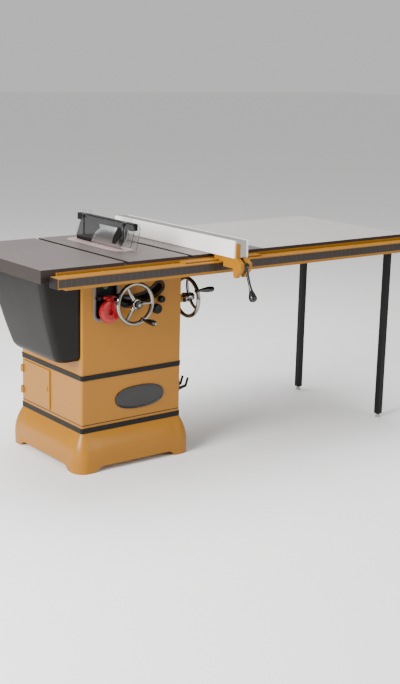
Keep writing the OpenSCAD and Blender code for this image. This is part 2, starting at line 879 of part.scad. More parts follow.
module blade_washers() {
    color(steel) for (x = [flange_x, kerf / 2]) difference() {
        along_x([x, arbor_y, arbor_z], 22, x < 0 ? -flange_x - kerf / 2 : 4);
        along_x([x - eps, arbor_y, arbor_z], arbor_d / 2, 10);
    }
}

module arbor_nut() {
    color(steel) difference() {
        translate([kerf / 2 + 4, arbor_y, arbor_z]) rotate([0, 90, 0]) cylinder(r = 13.5, h = 10, $fn = 6);
        along_x([0, arbor_y, arbor_z], arbor_d / 2, 30);
    }
}

module saw_blade() {
    teeth = 40;
    color(steel) difference() {
        along_x([-kerf / 2, arbor_y, arbor_z], blade_r, kerf);
        along_x([-kerf, arbor_y, arbor_z], arbor_d / 2, 2 * kerf);
        for (i = [0:teeth - 1]) translate([0, arbor_y, arbor_z]) rotate([i * 360 / teeth, 0, 0])
            translate([0, 0, blade_r + 1]) rotate([0, 90, 0]) cylinder(r = 6, h = 2 * kerf, center = true);
    }
}

module motor_body() {
    x0 = -330;
    x1 = -150;
    color(dark) difference() {
        union() {
            along_x([x0 + 10, motor_y, motor_z], motor_r, x1 - x0 - 20);
            along_x([x0, motor_y, motor_z], motor_r - 8, 10);
            along_x([x1 - 10, motor_y, motor_z], motor_r - 6, 10);
            box([x0 + 60, motor_y - 40, motor_z + motor_r - 14],
                [x1 - 30, motor_y + 40, motor_z + motor_r + 8]);
        }
        along_x([x1 - 40, motor_y, motor_z], 11, 60);
    }
}

module motor_rotor() {
    color(steel) {
        along_x([-185, motor_y, motor_z], 9, 185 + pulley_x - pulley_w);
        along_x([pulley_x - pulley_w, motor_y, motor_z], motor_pulley_r, pulley_w);
    }
}

// A flat belt loop about the two pulleys, from their outer tangents.
module belt_line(grow) {
    dy = motor_y - arbor_y;
    dz = motor_z - arbor_z;
    lean = asin((motor_pulley_r - arbor_pulley_r) / norm([dy, dz]));
    out = atan2(dz, dy);
    r1 = arbor_pulley_r + grow;
    r2 = motor_pulley_r + grow;
    steps = 28;
    polygon(concat(
        [for (i = [0:steps]) let (t = out + 90 + lean + i * (180 - 2 * lean) / steps)
            [arbor_y + r1 * cos(t), arbor_z + r1 * sin(t)]],
        [for (i = [0:steps]) let (t = out - 90 - lean + i * (180 + 2 * lean) / steps)
            [motor_y + r2 * cos(t), motor_z + r2 * sin(t)]]));
}

module drive_belt() {
    color(black) plate_yz(pulley_x - pulley_w + 2, pulley_w - 4) difference() {
        belt_line(gap + belt_t);
        belt_line(gap);
    }
}

module riving_knife() {
    r_in = blade_r + 7;
    color(dark) plate_yz(-1.25, 2.5) difference() {
        polygon([[12, bar_z], [148, bar_z], [184, table_h + 14], [176, sleeve_z + 12],
            [70, sleeve_z + 12], [arbor_y, arbor_z]]);
        translate([arbor_y, arbor_z]) circle(r_in);
    }
}

module guard_bar() {
    color(black) box([-bar_half, bar_front, bar_z], [bar_half, bar_rear, bar_z + bar_h]);
    color(steel) for (y = pin_y) {
        along_x([-bar_half - shield_t - 1.5, y, pin_z], pin_r, 2 * (bar_half + shield_t + 1.5));
        for (s = [-1, 1]) along_x([s * (bar_half + shield_t + 1.5) - (s < 0 ? 2 : 0), y, pin_z], 7, 2);
    }
}

// A clear side shield with two upright slots that ride on the bar's pins.
module shield(side, low) {
    x0 = side > 0 ? bar_half + gap : -bar_half - gap - shield_t;
    slot_top = pin_z + pin_up + pin_r + 2;
    slot_low = pin_z - drop - pin_r - 1;
    color("aliceblue") plate_yz(x0, shield_t) difference() {
        union() {
            polygon([[bar_rear + 4, low], [bar_rear + 4, low + 30], [bar_rear - 40, bar_z + 10],
                [bar_rear - 48, bar_z + bar_h - 3], [-254, bar_z + bar_h - 3], [-264, bar_z + 8],
                [-236, low]]);
            for (y = pin_y) translate([y - 14, bar_z]) square([28, slot_top - bar_z + 6]);
        }
        for (y = pin_y) {
            translate([y - pin_r - 0.2, slot_low]) square([2 * pin_r + 0.4, slot_top - slot_low]);
        }
    }
    fin_x = side > 0 ? x0 + shield_t : x0 - shield_t;
    color(black) plate_yz(fin_x, shield_t)
        polygon([[-150, bar_z + 4], [-176, bar_z], [-170, 920], [-132, low + 3], [-108, low + 3],
            [-116, 905]]);
}

module left_shield() shield(-1, table_h + 16);

module right_shield() shield(1, table_h + 4);

// ---------------------------------------------------------------- handwheels

// Stands the front wheel on its shaft: its hub nose towards the operator.
module at_raise() {
    translate([raise_x, wheel_y, raise_z]) rotate([90, 0, 0]) children();
}

module at_tilt() {
    translate([tilt_wheel_x, tilt_y, worm_z]) rotate([0, 90, 0]) rotate([0, 0, 90]) children();
}

grip_front = -62;
grip_side = 151;

module raise_handwheel() {
    color(steel) {
        at_raise() handwheel(grip_front);
        at_raise() cylinder(r = 5, h = 26);
        along_y([raise_x, wheel_y, raise_z], shaft_d / 2, cradle_front + 46 - wheel_y);
    }
    color(dark) translate([raise_x, cradle_front + 46, raise_z]) rotate([-90, 0, 0])
        cylinder(r1 = 12, r2 = shaft_d / 2, h = 10);
}

module raise_grip() color(black) at_raise() grip(grip_front);

module raise_lock_knob() color(black) at_raise() lock_knob();

module raise_screw() {
    color(steel) translate([raise_x, screw_y, cradle_floor]) cylinder(r = 6, h = 152);
    color(dark) translate([raise_x, screw_y, raise_z - 24]) cylinder(r1 = 11, r2 = 7, h = 9);
}

module tilt_handwheel() {
    color(steel) {
        at_tilt() handwheel(grip_side);
        at_tilt() cylinder(r = 5, h = 26);
        along_x([-60, tilt_y, worm_z], shaft_d / 2, tilt_wheel_x + 60);
    }
    color(dark) along_x([-40, tilt_y, worm_z], worm_r, 80);
}

module tilt_grip() color(black) at_tilt() grip(grip_side);

module tilt_lock_knob() color(black) at_tilt() lock_knob();

plinth();
lower_cabinet();
upper_cabinet();
trim_bands();
front_badge();
dust_chute();
dust_port();
storage_hooks();
arc_bezel();
stop_adjusters();
switch_box();
main_table();
left_wing();
right_wing();
throat_plate();
extension_top();
extension_frame();
extension_legs();
leg_glides();
rail_angle();
rail_tube();
rail_caps();
rail_tape();
rear_rail();
table_bolts();
trunnion_brackets();
side_hinges();
cord_gland();
trunnion_cradle();
tilt_sector();
guide_posts();
arbor_carriage();
arbor_bearings();
motor_body();
drive_belt();
riving_knife();
guard_bar();
left_shield();
right_shield();
arbor_shaft();
arbor_pulley();
blade_washers();
arbor_nut();
saw_blade();
motor_rotor();
raise_handwheel();
raise_grip();
raise_lock_knob();
raise_screw();
tilt_handwheel();
tilt_grip();
tilt_lock_knob();
fence_beam();
fence_faces();
fence_head();
fence_lever();
motor_cover();
clean_out_door();
stop_paddle();
start_button();
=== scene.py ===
import json
import math

import bmesh
import bpy
import numpy as np
from mathutils import Matrix, Vector


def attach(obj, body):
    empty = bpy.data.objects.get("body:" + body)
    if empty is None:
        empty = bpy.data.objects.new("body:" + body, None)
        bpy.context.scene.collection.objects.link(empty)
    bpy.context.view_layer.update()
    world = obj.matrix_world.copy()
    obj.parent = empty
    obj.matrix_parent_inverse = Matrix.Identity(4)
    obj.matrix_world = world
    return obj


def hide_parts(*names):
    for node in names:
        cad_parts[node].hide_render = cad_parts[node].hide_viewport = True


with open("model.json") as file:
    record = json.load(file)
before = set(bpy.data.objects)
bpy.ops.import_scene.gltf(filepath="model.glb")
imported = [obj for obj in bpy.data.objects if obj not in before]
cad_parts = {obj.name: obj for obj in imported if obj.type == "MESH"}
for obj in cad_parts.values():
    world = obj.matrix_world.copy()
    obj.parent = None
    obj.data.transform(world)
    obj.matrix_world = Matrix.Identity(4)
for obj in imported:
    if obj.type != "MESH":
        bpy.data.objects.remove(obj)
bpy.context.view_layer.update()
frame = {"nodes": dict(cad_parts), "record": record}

MM = 0.001

# ------------------------------------------------------------------ camera
camera_data = bpy.data.cameras.new("view_camera")
camera = bpy.data.objects.new("view_camera", camera_data)
bpy.context.scene.collection.objects.link(camera)
bpy.context.scene.camera = camera
camera_data.sensor_width = 36.0
camera_data.lens = 62.2
camera_data.clip_end = 200.0
EYE = (-2.581, -4.029, 1.616)
YAW, PITCH, ROLL = (math.radians(a) for a in (37.60, 13.60, 1.35))
forward = Vector((math.sin(YAW) * math.cos(PITCH), math.cos(YAW) * math.cos(PITCH),
                  -math.sin(PITCH)))
level = Vector((math.cos(YAW), -math.sin(YAW), 0.0))
upright = level.cross(forward)
right = level * math.cos(ROLL) + upright * math.sin(ROLL)
up = upright * math.cos(ROLL) - level * math.sin(ROLL)
facing = Matrix((right, up, -forward)).transposed().to_4x4()
camera.matrix_world = Matrix.Translation(EYE) @ facing


# ------------------------------------------------------------------ surfaces
def grid_faces(nu, nv, wrap_u, wrap_v, base=0):
    """Quads that join point (i, j) to its neighbours, going round where a side wraps."""
    i = np.arange(nu if wrap_u else nu - 1)
    j = np.arange(nv if wrap_v else nv - 1)
    i, j = (a.ravel() for a in np.meshgrid(i, j, indexing="ij"))
    i2, j2 = (i + 1) % nu, (j + 1) % nv
    return np.stack([i * nv + j, i2 * nv + j, i2 * nv + j2, i * nv + j2], 1) + base


def piece(name, grids, slot, body, stands_for=(), sharp=35.0, material=None):
    """One object from several grids, each (points, wraps in u, wraps in v, capped ends). It has its
    slot's finish unless it is given another."""
    points, faces, base = [], [], 0
    for P, wrap_u, wrap_v, caps in grids:
        nu, nv = P.shape[:2]
        points.append(P.reshape(-1, 3))
        faces += grid_faces(nu, nv, wrap_u, wrap_v, base).tolist()
        if caps:
            ring = np.arange(nu) * nv + base
            faces += [ring[::-1].tolist(), (ring + nv - 1).tolist()]
        base += nu * nv
    mesh = bpy.data.meshes.new(name)
    mesh.from_pydata(np.vstack(points).tolist(), [], faces)
    bm = bmesh.new()
    bm.from_mesh(mesh)
    bmesh.ops.remove_doubles(bm, verts=bm.verts, dist=1e-6)
    bmesh.ops.recalc_face_normals(bm, faces=bm.faces)
    bm.to_mesh(mesh)
    bm.free()
    mesh.polygons.foreach_set("use_smooth", np.ones(len(mesh.polygons), bool))
    mesh.set_sharp_from_angle(angle=math.radians(sharp))
    mesh.materials.append(material or finishes[slot])
    made = bpy.data.objects.new(name, mesh)
    bpy.context.scene.collection.objects.link(made)
    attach(made, body)
    if stands_for:
        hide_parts(*stands_for)
    return made


def turned(profile, place, closed=False, steps=64, lobes=0, lobe_depth=0.0):
    """A profile of (radius, height) carried round an axis; lobes cut the radius by a cosine of the
    angle."""
    profile = np.asarray(profile, float) * MM
    t = np.linspace(0, 2 * np.pi, steps, endpoint=False)[:, None]
    r = profile[None, :, 0] * (1 - lobe_depth * (0.5 + 0.5 * np.cos(lobes * t)))
    z = np.broadcast_to(profile[None, :, 1], r.shape)
    return place(np.stack([r * np.cos(t), r * np.sin(t), z], -1)), True, closed, False


def rod(path, across, deep, side, steps=24):
    """An ellipse of half sizes across and deep carried along a path, its first axis along side."""
    path = np.asarray(path, float) * MM
    along = np.gradient(path, axis=0)
    along /= np.linalg.norm(along, axis=1)[:, None]
    a = np.asarray(side, float) - along * (along @ np.asarray(side, float))[:, None]
    a /= np.linalg.norm(a, axis=1)[:, None]
    b = np.cross(along, a)
    t = np.linspace(0, 2 * np.pi, steps, endpoint=False)[:, None, None]
    across, deep = (np.broadcast_to(np.asarray(w, float) * MM, len(path))[None, :, None]
                    for w in (across, deep))
    return path + across * np.cos(t) * a + deep * np.sin(t) * b, True, False, True


def block(lo, hi, soft=1.0):
    """A brick with softened edges. Its section is a circle stretched and clipped to a rectangle, and
    its ends draw in by a quarter turn of the radius soft."""
    lo, hi = np.asarray(lo, float), np.asarray(hi, float)
    mid, half = (lo + hi) / 2, (hi - lo) / 2
    t = np.linspace(0, 2 * np.pi, 40, endpoint=False) + np.pi / 40
    q = np.linspace(0, np.pi / 2, 4)
    inset = np.concatenate([soft * (1 - np.sin(q)), soft * (1 - np.sin(q[::-1]))])
    z = np.concatenate([-half[2] + soft * (1 - np.cos(q)), half[2] - soft * (1 - np.cos(q[::-1]))])
    stretch = 1.35
    x = np.clip(stretch * np.cos(t), -1, 1)[:, None] * (half[0] - inset)[None]
    y = np.clip(stretch * np.sin(t), -1, 1)[:, None] * (half[1] - inset)[None]
    P = np.stack([x, y, np.broadcast_to(z, x.shape)], -1) + mid
    return P * MM, True, False, True


FRONT_HUB = np.array([-0.032, -0.300, 0.672])
SIDE_HUB = np.array([0.305, -0.185, 0.644])


def front(P):
    """Local axes of the front handwheel: its height points to the operator."""
    return np.stack([P[..., 0], -P[..., 2], P[..., 1]], -1) + FRONT_HUB


def side(P):
    """Local axes of the side handwheel: its height points to +X."""
    return np.stack([P[..., 2], P[..., 0], P[..., 1]], -1) + SIDE_HUB


def facing_front(x, z):
    """Local axes of a part on the front: height 0 lies at y 0 and grows towards the operator."""
    return lambda P: np.stack([P[..., 0] + x * MM, -P[..., 2], P[..., 1] + z * MM], -1)


def lengthwise(x, y, z):
    """Local axes of a barrel along X that starts at x."""
    return lambda P: np.stack([P[..., 2] + x * MM, P[..., 0] + y * MM, P[..., 1] + z * MM], -1)


def upwards(x, y, z):
    """Local axes of a part that stands on a point, its height along Z."""
    return lambda P: P + np.array([x, y, z]) * MM


# ------------------------------------------------------------------ finishes
def colour(code):
    """An sRGB hex code as linear red, green, blue and alpha."""
    c = np.array([int(code[k:k + 2], 16) / 255 for k in (1, 3, 5)])
    return (*np.where(c <= 0.04045, c / 12.92, ((c + 0.055) / 1.055) ** 2.4).tolist(), 1.0)


def add(tree, kind, settings=(), **links):
    """A node of one kind with its settings. Each link names an input, or numbers it as i0, i1 and so
    on, and gives a value or a socket."""
    made = tree.nodes.new("ShaderNode" + kind)
    for key, value in dict(settings).items():
        setattr(made, key, value)
    for key, value in links.items():
        numbered = key[0] == "i" and key[1:].isdigit()
        socket = made.inputs[int(key[1:]) if numbered else key.replace("_", " ")]
        if isinstance(value, bpy.types.NodeSocket):
            tree.links.new(value, socket)
        else:
            socket.default_value = value
    return made


def blank(name):
    """A material with an empty tree, and a node of its places in metres."""
    material = bpy.data.materials.new(name)
    material.use_nodes = True
    tree = material.node_tree
    tree.nodes.clear()
    return material, tree, add(tree, "TexCoord").outputs["Object"]


RGBA = {"data_type": "RGBA"}
MULTIPLY_ADD = {"operation": "MULTIPLY_ADD"}
GRAIN_SHARE, PATCH_SHARE, BLEND_SHIFT = 0.45, 0.55, -0.02
TABLE_TOP = 0.8636  # the height, in metres, over which a face is a worktop and under which a rim


def finish(name, base, other, metallic, rough, grain_mm, bump_mm, stretch=(1, 1, 1), patch_mm=180.0,
           edge_mm=0.8, top=None, constants=()):
    """A finish of two tones mixed by fine grain and broad patches. The mix sets roughness, the grain
    sets bump, a rounded edge catches light, and over TABLE_TOP a second pair of tones can take over."""
    material, tree, place = blank(name)
    scaled = add(tree, "Mapping", Vector=place, Scale=stretch).outputs[0]
    grain = add(tree, "TexNoise", Vector=scaled, Scale=1 / (grain_mm * MM), Detail=4.0,
                Roughness=0.6).outputs[0]
    patch = add(tree, "TexNoise", Vector=place, Scale=1 / (patch_mm * MM), Detail=3.0,
                Roughness=0.55).outputs[0]
    blend = add(tree, "Math", MULTIPLY_ADD, i0=grain, i1=GRAIN_SHARE, i2=BLEND_SHIFT).outputs[0]
    blend = add(tree, "Math", MULTIPLY_ADD | {"use_clamp": True}, i0=patch, i1=PATCH_SHARE,
                i2=blend).outputs[0]
    tone = add(tree, "Mix", RGBA, i0=blend, i6=colour(base), i7=colour(other)).outputs[2]
    if top:
        height = add(tree, "SeparateXYZ", Vector=place).outputs[2]
        on_top = add(tree, "Math", {"operation": "GREATER_THAN"}, i0=height, i1=TABLE_TOP).outputs[0]
        ground = add(tree, "Mix", RGBA, i0=blend, i6=colour(top[0]), i7=colour(top[1])).outputs[2]
        tone = add(tree, "Mix", RGBA, i0=on_top, i6=tone, i7=ground).outputs[2]
    dull = add(tree, "MapRange", i0=blend, i1=0.2, i2=0.8, i3=rough[0], i4=rough[1]).outputs[0]
    soft = add(tree, "Bevel", {"samples": 4}, Radius=edge_mm * MM).outputs[0]
    relief = add(tree, "Bump", Strength=1.0, Distance=bump_mm * MM, Height=grain, Normal=soft).outputs[0]
    shader = add(tree, "BsdfPrincipled", Base_Color=tone, Metallic=metallic, Roughness=dull,
                 Normal=relief)
    for key, value in dict(constants).items():
        shader.inputs[key].default_value = value
    add(tree, "OutputMaterial", Surface=shader.outputs[0])
    return material


finishes = {
    # Stove enamel over sheet and cast iron: even golden tan under a clear gloss, a little orange peel.
    "gold_paint": finish("stove_enamel_golden_tan", "#8b5906", "#97640a", 0.0, (0.32, 0.44), 3.0, 0.03,
                         edge_mm=1.5, constants={"Coat Weight": 0.10, "Coat Roughness": 0.12,
                                                 "Specular IOR Level": 0.30}),
    # Powder coat on steel: black, with a fine pebble that spreads its highlights.
    "black_paint": finish("powder_coat_black", "#050404", "#0a0909", 0.0, (0.40, 0.54), 1.2, 0.05,
                          edge_mm=1.0, constants={"Specular IOR Level": 0.22}),
    # Machinery enamel over rough castings: grey, with sand texture that shows through.
    "grey_cast": finish("machinery_enamel_grey", "#4d4e50", "#5c5d5e", 0.1, (0.45, 0.65), 2.5, 0.25,
                        edge_mm=1.5),
    # Ground cast iron, waxed: warm grey with fine lines along the grinding; its rims stay as cast.
    "ground_iron": finish("cast_iron_ground_waxed", "#28211f", "#352c29", 0.45, (0.34, 0.50), 1.6, 0.02,
                          stretch=(1, 0.04, 1), top=("#5c5452", "#6c6361"), edge_mm=1.0),
    # Turned and drawn steel: bright, with lathe and drawing lines.
    "steel": finish("carbon_steel_turned", "#a8a7a5", "#bdbcba", 1.0, (0.24, 0.38), 0.9, 0.015,
                    stretch=(1, 0.1, 1), edge_mm=0.4),
    # Chrome plate over polished cast iron: mirror bright, with faint ripples and hazy handling marks.
    "chrome": finish("chrome_plate_polished", "#817d79", "#928e89", 1.0, (0.05, 0.14), 14.0, 0.04,
                     patch_mm=40.0, edge_mm=0.6),
    # Moulded ABS: near black, a soft leather grain and low gloss.
    "black_plastic": finish("abs_moulded_black", "#080706", "#0e0c0b", 0.0, (0.40, 0.54), 1.4, 0.08,
                            edge_mm=1.2, constants={"Specular IOR Level": 0.22}),
    # Phenolic, pressed and polished: deep black and glossy.
    "grip_plastic": finish("phenolic_pressed_black", "#060505", "#0c0b0b", 0.0, (0.16, 0.28), 5.0, 0.02),
    # Moulded ABS in signal red and in green: clean gloss, paler where it is handled.
    "red_plastic": finish("abs_moulded_red", "#8f0a13", "#a0141c", 0.0, (0.22, 0.34), 4.0, 0.02,
                          patch_mm=30.0),
    "green_plastic": finish("abs_moulded_green", "#15472a", "#1f5a36", 0.0, (0.24, 0.36), 4.0, 0.02,
                            patch_mm=20.0),
    # High pressure laminate: light warm grey with a fine speckle, on a board with a black edge band.
    "laminate": finish("pressure_laminate_grey", "#161414", "#201e1d", 0.0, (0.26, 0.38), 1.5, 0.01,
                       top=("#a09a97", "#aca6a3")),
    # The same laminate in white, on the fence's two faces: even, with hardly any speckle.
    "face_laminate": finish("pressure_laminate_white", "#e0dad4", "#e9e4de", 0.0, (0.30, 0.42), 2.0, 0.01),
    # Die cast aluminium under thin paint: pinkish grey with a fine orange peel.
    "insert_alloy": finish("aluminium_cast_painted", "#9c8380", "#aa9390", 0.2, (0.36, 0.50), 1.5, 0.03),
    # Neoprene, moulded: dull black, slightly dusty.
    "belt_rubber": finish("neoprene_moulded", "#141313", "#262423", 0.0, (0.65, 0.85), 1.0, 0.08,
                          edge_mm=0.5),
}


def clear_sheet():
    """Polycarbonate, extruded: clear with a faint haze of fine scratches along its length."""
    material, tree, place = blank("polycarbonate_clear")
    along = add(tree, "Mapping", Vector=place, Scale=(1, 0.06, 1)).outputs[0]
    marks = add(tree, "TexNoise", Vector=along, Scale=700.0, Detail=3.0).outputs[0]
    haze = add(tree, "MapRange", i0=marks, i1=0.45, i2=0.8, i3=0.03, i4=0.22).outputs[0]
    shader = add(tree, "BsdfPrincipled", Base_Color=colour("#eef2f3"), Roughness=haze, IOR=1.58)
    shader.inputs["Transmission Weight"].default_value = 1.0
    add(tree, "OutputMaterial", Surface=shader.outputs[0])
    return material


def scale_strip():
    """Printed polyester strip: brown black, a pale tick each 25.4 mm and a short one each 6.35 mm."""
    material, tree, place = blank("polyester_strip_printed")
    split = add(tree, "SeparateXYZ", Vector=place)
    ink = None
    # Ticks are drawn wider than real ones, so that they show at this size. Each is under a height.
    tick_w = 1.6 * MM
    for pitch, top in ((25.4 * MM, 834 * MM), (6.35 * MM, 812 * MM)):
        within = add(tree, "Math", {"operation": "FLOORED_MODULO"}, i0=split.outputs[0],
                     i1=pitch).outputs[0]
        on = add(tree, "Math", {"operation": "LESS_THAN"}, i0=within, i1=tick_w).outputs[0]
        low = add(tree, "Math", {"operation": "LESS_THAN"}, i0=split.outputs[2], i1=top).outputs[0]
        tick = add(tree, "Math", {"operation": "MULTIPLY"}, i0=on, i1=low).outputs[0]
        if ink:
            tick = add(tree, "Math", {"operation": "MAXIMUM"}, i0=ink, i1=tick).outputs[0]
        ink = tick
    worn = add(tree, "TexNoise", Vector=place, Scale=160.0, Detail=4.0).outputs[0]
    back = add(tree, "Mix", RGBA, i0=worn, i6=colour("#150d08"), i7=colour("#22160e")).outputs[2]
    tone = add(tree, "Mix", RGBA, i0=ink, i6=back, i7=colour("#3b2d21")).outputs[2]
    dull = add(tree, "MapRange", i0=worn, i1=0.3, i2=0.7, i3=0.3, i4=0.45).outputs[0]
    shader = add(tree, "BsdfPrincipled", Base_Color=tone, Roughness=dull)
    add(tree, "OutputMaterial", Surface=shader.outputs[0])
    return material


finishes["clear_plastic"] = clear_sheet()
finishes["scale_strip"] = scale_strip()

for part in frame["record"]["subparts"]:
    node = frame["nodes"][part["node"]]
    for held in node.material_slots:
        held.material = finishes[part["material_slot"]]

# ------------------------------------------------------------------ plinth
def rounded_square(half, radius, straight=28, arc=10):
    """Points round a square with round corners: along each side, then a quarter turn at its corner."""
    s = np.linspace(-1, 1, straight, endpoint=False)
    q = np.linspace(0, np.pi / 2, arc, endpoint=False)
    flat = half - radius
    x = np.concatenate([flat * s, flat + radius * np.sin(q)], -1)
    y = np.concatenate([np.full_like(s, -half), -flat - radius * np.cos(q)], -1)
    turns = [np.stack([x, y], -1)]  # the side that faces the operator, then the other three
    for _ in range(3):
        turns.append(np.stack([-turns[-1][:, 1], turns[-1][:, 0]], -1))
    return np.concatenate(turns)


def plinth_grid():
    """The half size is the cabinet's plus a flare. The flare grows a little from the floor to the
    waist, then shrinks by 1 - 0.95 s squared, s from 0 at the waist to 1 at the top. The lower edge
    lifts between the four feet."""
    high, waist, flare, cabinet = 0.158, 0.066, 0.038, 0.238
    arch, foot_from, foot_slope = 0.022, 0.195, 0.023
    base = rounded_square(0.2745, 0.05)
    along = np.where(np.abs(base[:, 0]) < np.abs(base[:, 1]), base[:, 0], base[:, 1])
    lift = arch * np.clip((foot_from - np.abs(along)) / foot_slope, 0, 1)
    rows = []
    for v in np.concatenate([np.linspace(0, 0.4, 6), np.linspace(0.44, 1, 16)]):
        z = lift + (high - lift) * v
        s = np.clip((z - waist) / (high - waist), 0, 1)
        share = np.where(z < waist, 0.96 + 0.04 * z / waist, 1 - 0.95 * s ** 2)
        share = float(np.median(share))
        ring = rounded_square(cabinet + flare * share, 0.012 + 0.04 * share)
        rows.append(np.column_stack([ring, z]))
    inner = rounded_square(0.226, 0.004)
    for z in (np.full(len(inner), high), lift):
        rows.append(np.column_stack([inner, z]))
    return np.stack(rows, 1), True, True, False


piece("plinth_casting", [plinth_grid()], "gold_paint", "cabinet", ["plinth"], sharp=40)


# ------------------------------------------------------------------ motor cover
def cover_grid():
    """Half sections that open to the cabinet. Depth and rear edge grow with height by a power of
    1 - t, corners turn on 30 mm, and the bottom and top close by drawing in to the open side."""
    low, high, edge, x_in, y_front = 0.448, 0.810, 0.030, -0.239, -0.228
    q = np.linspace(0, np.pi / 2, 8)
    z = np.concatenate([[low] * 3, low + edge * (1 - np.cos(q)),
                        np.linspace(low + edge, high - edge, 26)[1:-1],
                        high - edge + edge * np.sin(q), [high] * 3])
    inset = np.concatenate([[edge] * 3, edge * (1 - np.sin(q)), np.zeros(24), edge * (1 - np.cos(q)),
                            [edge] * 3])
    shrink = np.concatenate([[0, 0.5, 0.85], np.ones(len(z) - 6), [0.85, 0.5, 0]])
    t = (z - low) / (high - low)
    depth = 0.098 + 0.074 * (1 - (1 - t) ** 1.45) - inset
    back = 0.128 + 0.062 * (1 - (1 - t) ** 1.9) - inset
    lead = y_front + inset
    c = np.linspace(0, np.pi / 2, 9)[:, None]
    r, middle = 0.030, -0.03

    def flat(a, b, n):
        """Even steps from a towards b, which is left out."""
        return a + (b - a) * np.linspace(0, 1, n, endpoint=False)[:, None]

    x = np.concatenate([flat(0 * depth, depth - r, 10), depth - r + r * np.sin(c),
                        flat(depth, depth, 16)[1:], depth - r + r * np.cos(c),
                        flat(depth - r, 0 * depth, 10)[1:], 0 * depth[None]])
    y = np.concatenate([np.broadcast_to(lead, (10, len(z))), lead + r - r * np.cos(c),
                        flat(lead + r, back - r, 16)[1:], back - r + r * np.sin(c),
                        np.broadcast_to(back, (9, len(z))), back[None]])
    P = np.stack([x_in - x * shrink, middle + (y - middle) * shrink, np.broadcast_to(z, x.shape)], -1)
    return P, False, False, False


cover = piece("motor_cover_moulding", [cover_grid()], "black_plastic", "cover", ["motor_cover"],
              sharp=60)
wall = cover.modifiers.new("wall", "SOLIDIFY")
wall.thickness, wall.offset = 0.0035, -1.0
HINGE_X, HINGE_Y, HINGE_HALF = -247, 200, 19
for z in (660, 762):
    barrel = turned([(6, -HINGE_HALF), (6, HINGE_HALF), (3.05, HINGE_HALF), (3.05, -HINGE_HALF)],
                    upwards(HINGE_X, HINGE_Y, z), closed=True)
    arm = block((-252.5, 132, z - 18), (-245.5, 196, z + 18), 1.2)
    piece(f"cover_hinge_arm_{z}", [barrel, arm], "black_plastic", "cover")


# ------------------------------------------------------------------ handwheels
RIM_R, RIM_BAR, STUD_R = 79.5, 8.5, 76.5


def stud_place(place, grip_angle):
    """The wheel's own axes, moved out along the rim to where its crank grip stands."""
    a = math.radians(grip_angle)
    offset = np.array([math.cos(a), math.sin(a), 0]) * STUD_R * MM
    return lambda P: place(P + offset)


def wheel_grids(place, grip_angle, tail):
    """A torus rim, three dished spokes that thin outwards, a turned hub that runs on into its shaft,
    and the grip's stud."""
    t = np.linspace(0, 2 * np.pi, 96, endpoint=False)[:, None]
    p = np.linspace(0, 2 * np.pi, 24, endpoint=False)[None]
    out = RIM_R + RIM_BAR * np.cos(p)
    rim = place(np.stack([out * np.cos(t), out * np.sin(t), RIM_BAR * np.sin(p) + 0 * t], -1) * MM)
    grids = [(rim, True, True, False)]
    s = np.linspace(0, 1, 14)
    for k in range(3):
        a = math.radians(grip_angle + 60 + 120 * k)
        reach = 14 + 64 * s
        dish = 7 * (1 - s) ** 2 - 1.5 * np.sin(np.pi * s)
        path = np.stack([reach * math.cos(a), reach * math.sin(a), dish], 1)
        across = (-math.sin(a), math.cos(a), 0)
        P, wrap_u, wrap_v, caps = rod(path, 9.0 - 3.2 * s, 6.0 - 1.2 * s, across)
        grids.append((place(P), wrap_u, wrap_v, caps))
    hub = [(0, 26), (4.6, 26), (5, 25.4), (5, 18), (17, 18), (19.6, 17), (21, 14.5), (21, 6), (19.5, 3),
           (19.5, -8), (21, -12), (21, -16), (19, -18), (8, -18)]
    grids.append(turned(hub + tail, place))
    stud = [(0, -7), (7.5, -7), (9, -5), (9, 6.5), (7.5, 8), (4, 8), (4, 87), (5.5, 87), (5.5, 88.3),
            (4.8, 89), (0, 89)]
    grids.append(turned(stud, stud_place(place, grip_angle), steps=32))
    return grids


def grip_grids(place, grip_angle):
    """A crank grip: its radius swells by a sine from a waist at the wheel to a bulb near its end."""
    s = np.linspace(0, 1, 30)
    r = 8.5 + 3.5 * np.sin(np.radians(-60 + 210 * s))
    r[0] -= 0.8
    r[-2:] -= (0.5, 2.6)
    outer = np.stack([r, 8.5 + 77.5 * s], 1)
    bore = np.array([[4.05, 86.0], [4.05, 8.5]])
    return [turned(np.vstack([outer, bore]), stud_place(place, grip_angle), closed=True, steps=40)]


def knob_grids(place):
    """A six lobed knob: a cosine of the angle cuts the radius, and its top is domed."""
    profile = [(0, 27), (5.05, 27), (5.05, 18.3), (13.5, 18.3), (15.6, 19.2), (16.8, 21), (17, 27),
               (16.3, 29.4), (13.6, 30.8), (8, 31.3), (0, 31.3)]
    return [turned(profile, place, steps=96, lobes=6, lobe_depth=0.14)]


# The worm's thread is drawn as rings: crests and roots take turns over its length.
WORM_FROM, WORM_LENGTH, WORM_STEPS = -266, 79, 24
worm = [(12 if k % 2 else 9.5, WORM_FROM - WORM_LENGTH * k / WORM_STEPS)
        for k in range(WORM_STEPS + 1)]
tilt_tail = [(8, -265), (9.5, -265.5)] + worm + [(8, -345.5), (8, -365), (0, -365)]
wheels = (("raise", front, -62, [(8, -134), (12, -134), (8, -144), (0, -144)]),
          ("tilt", side, 151, tilt_tail))
for name, place, angle, tail in wheels:
    piece(f"{name}_wheel_casting", wheel_grids(place, angle, tail), "chrome", f"{name}_wheel",
          [f"{name}_handwheel"])
    piece(f"{name}_crank_grip", grip_grids(place, angle), "grip_plastic", f"{name}_handle",
          [f"{name}_grip"])
    piece(f"{name}_star_knob", knob_grids(place), "grip_plastic", f"{name}_lock",
          [f"{name}_lock_knob"])

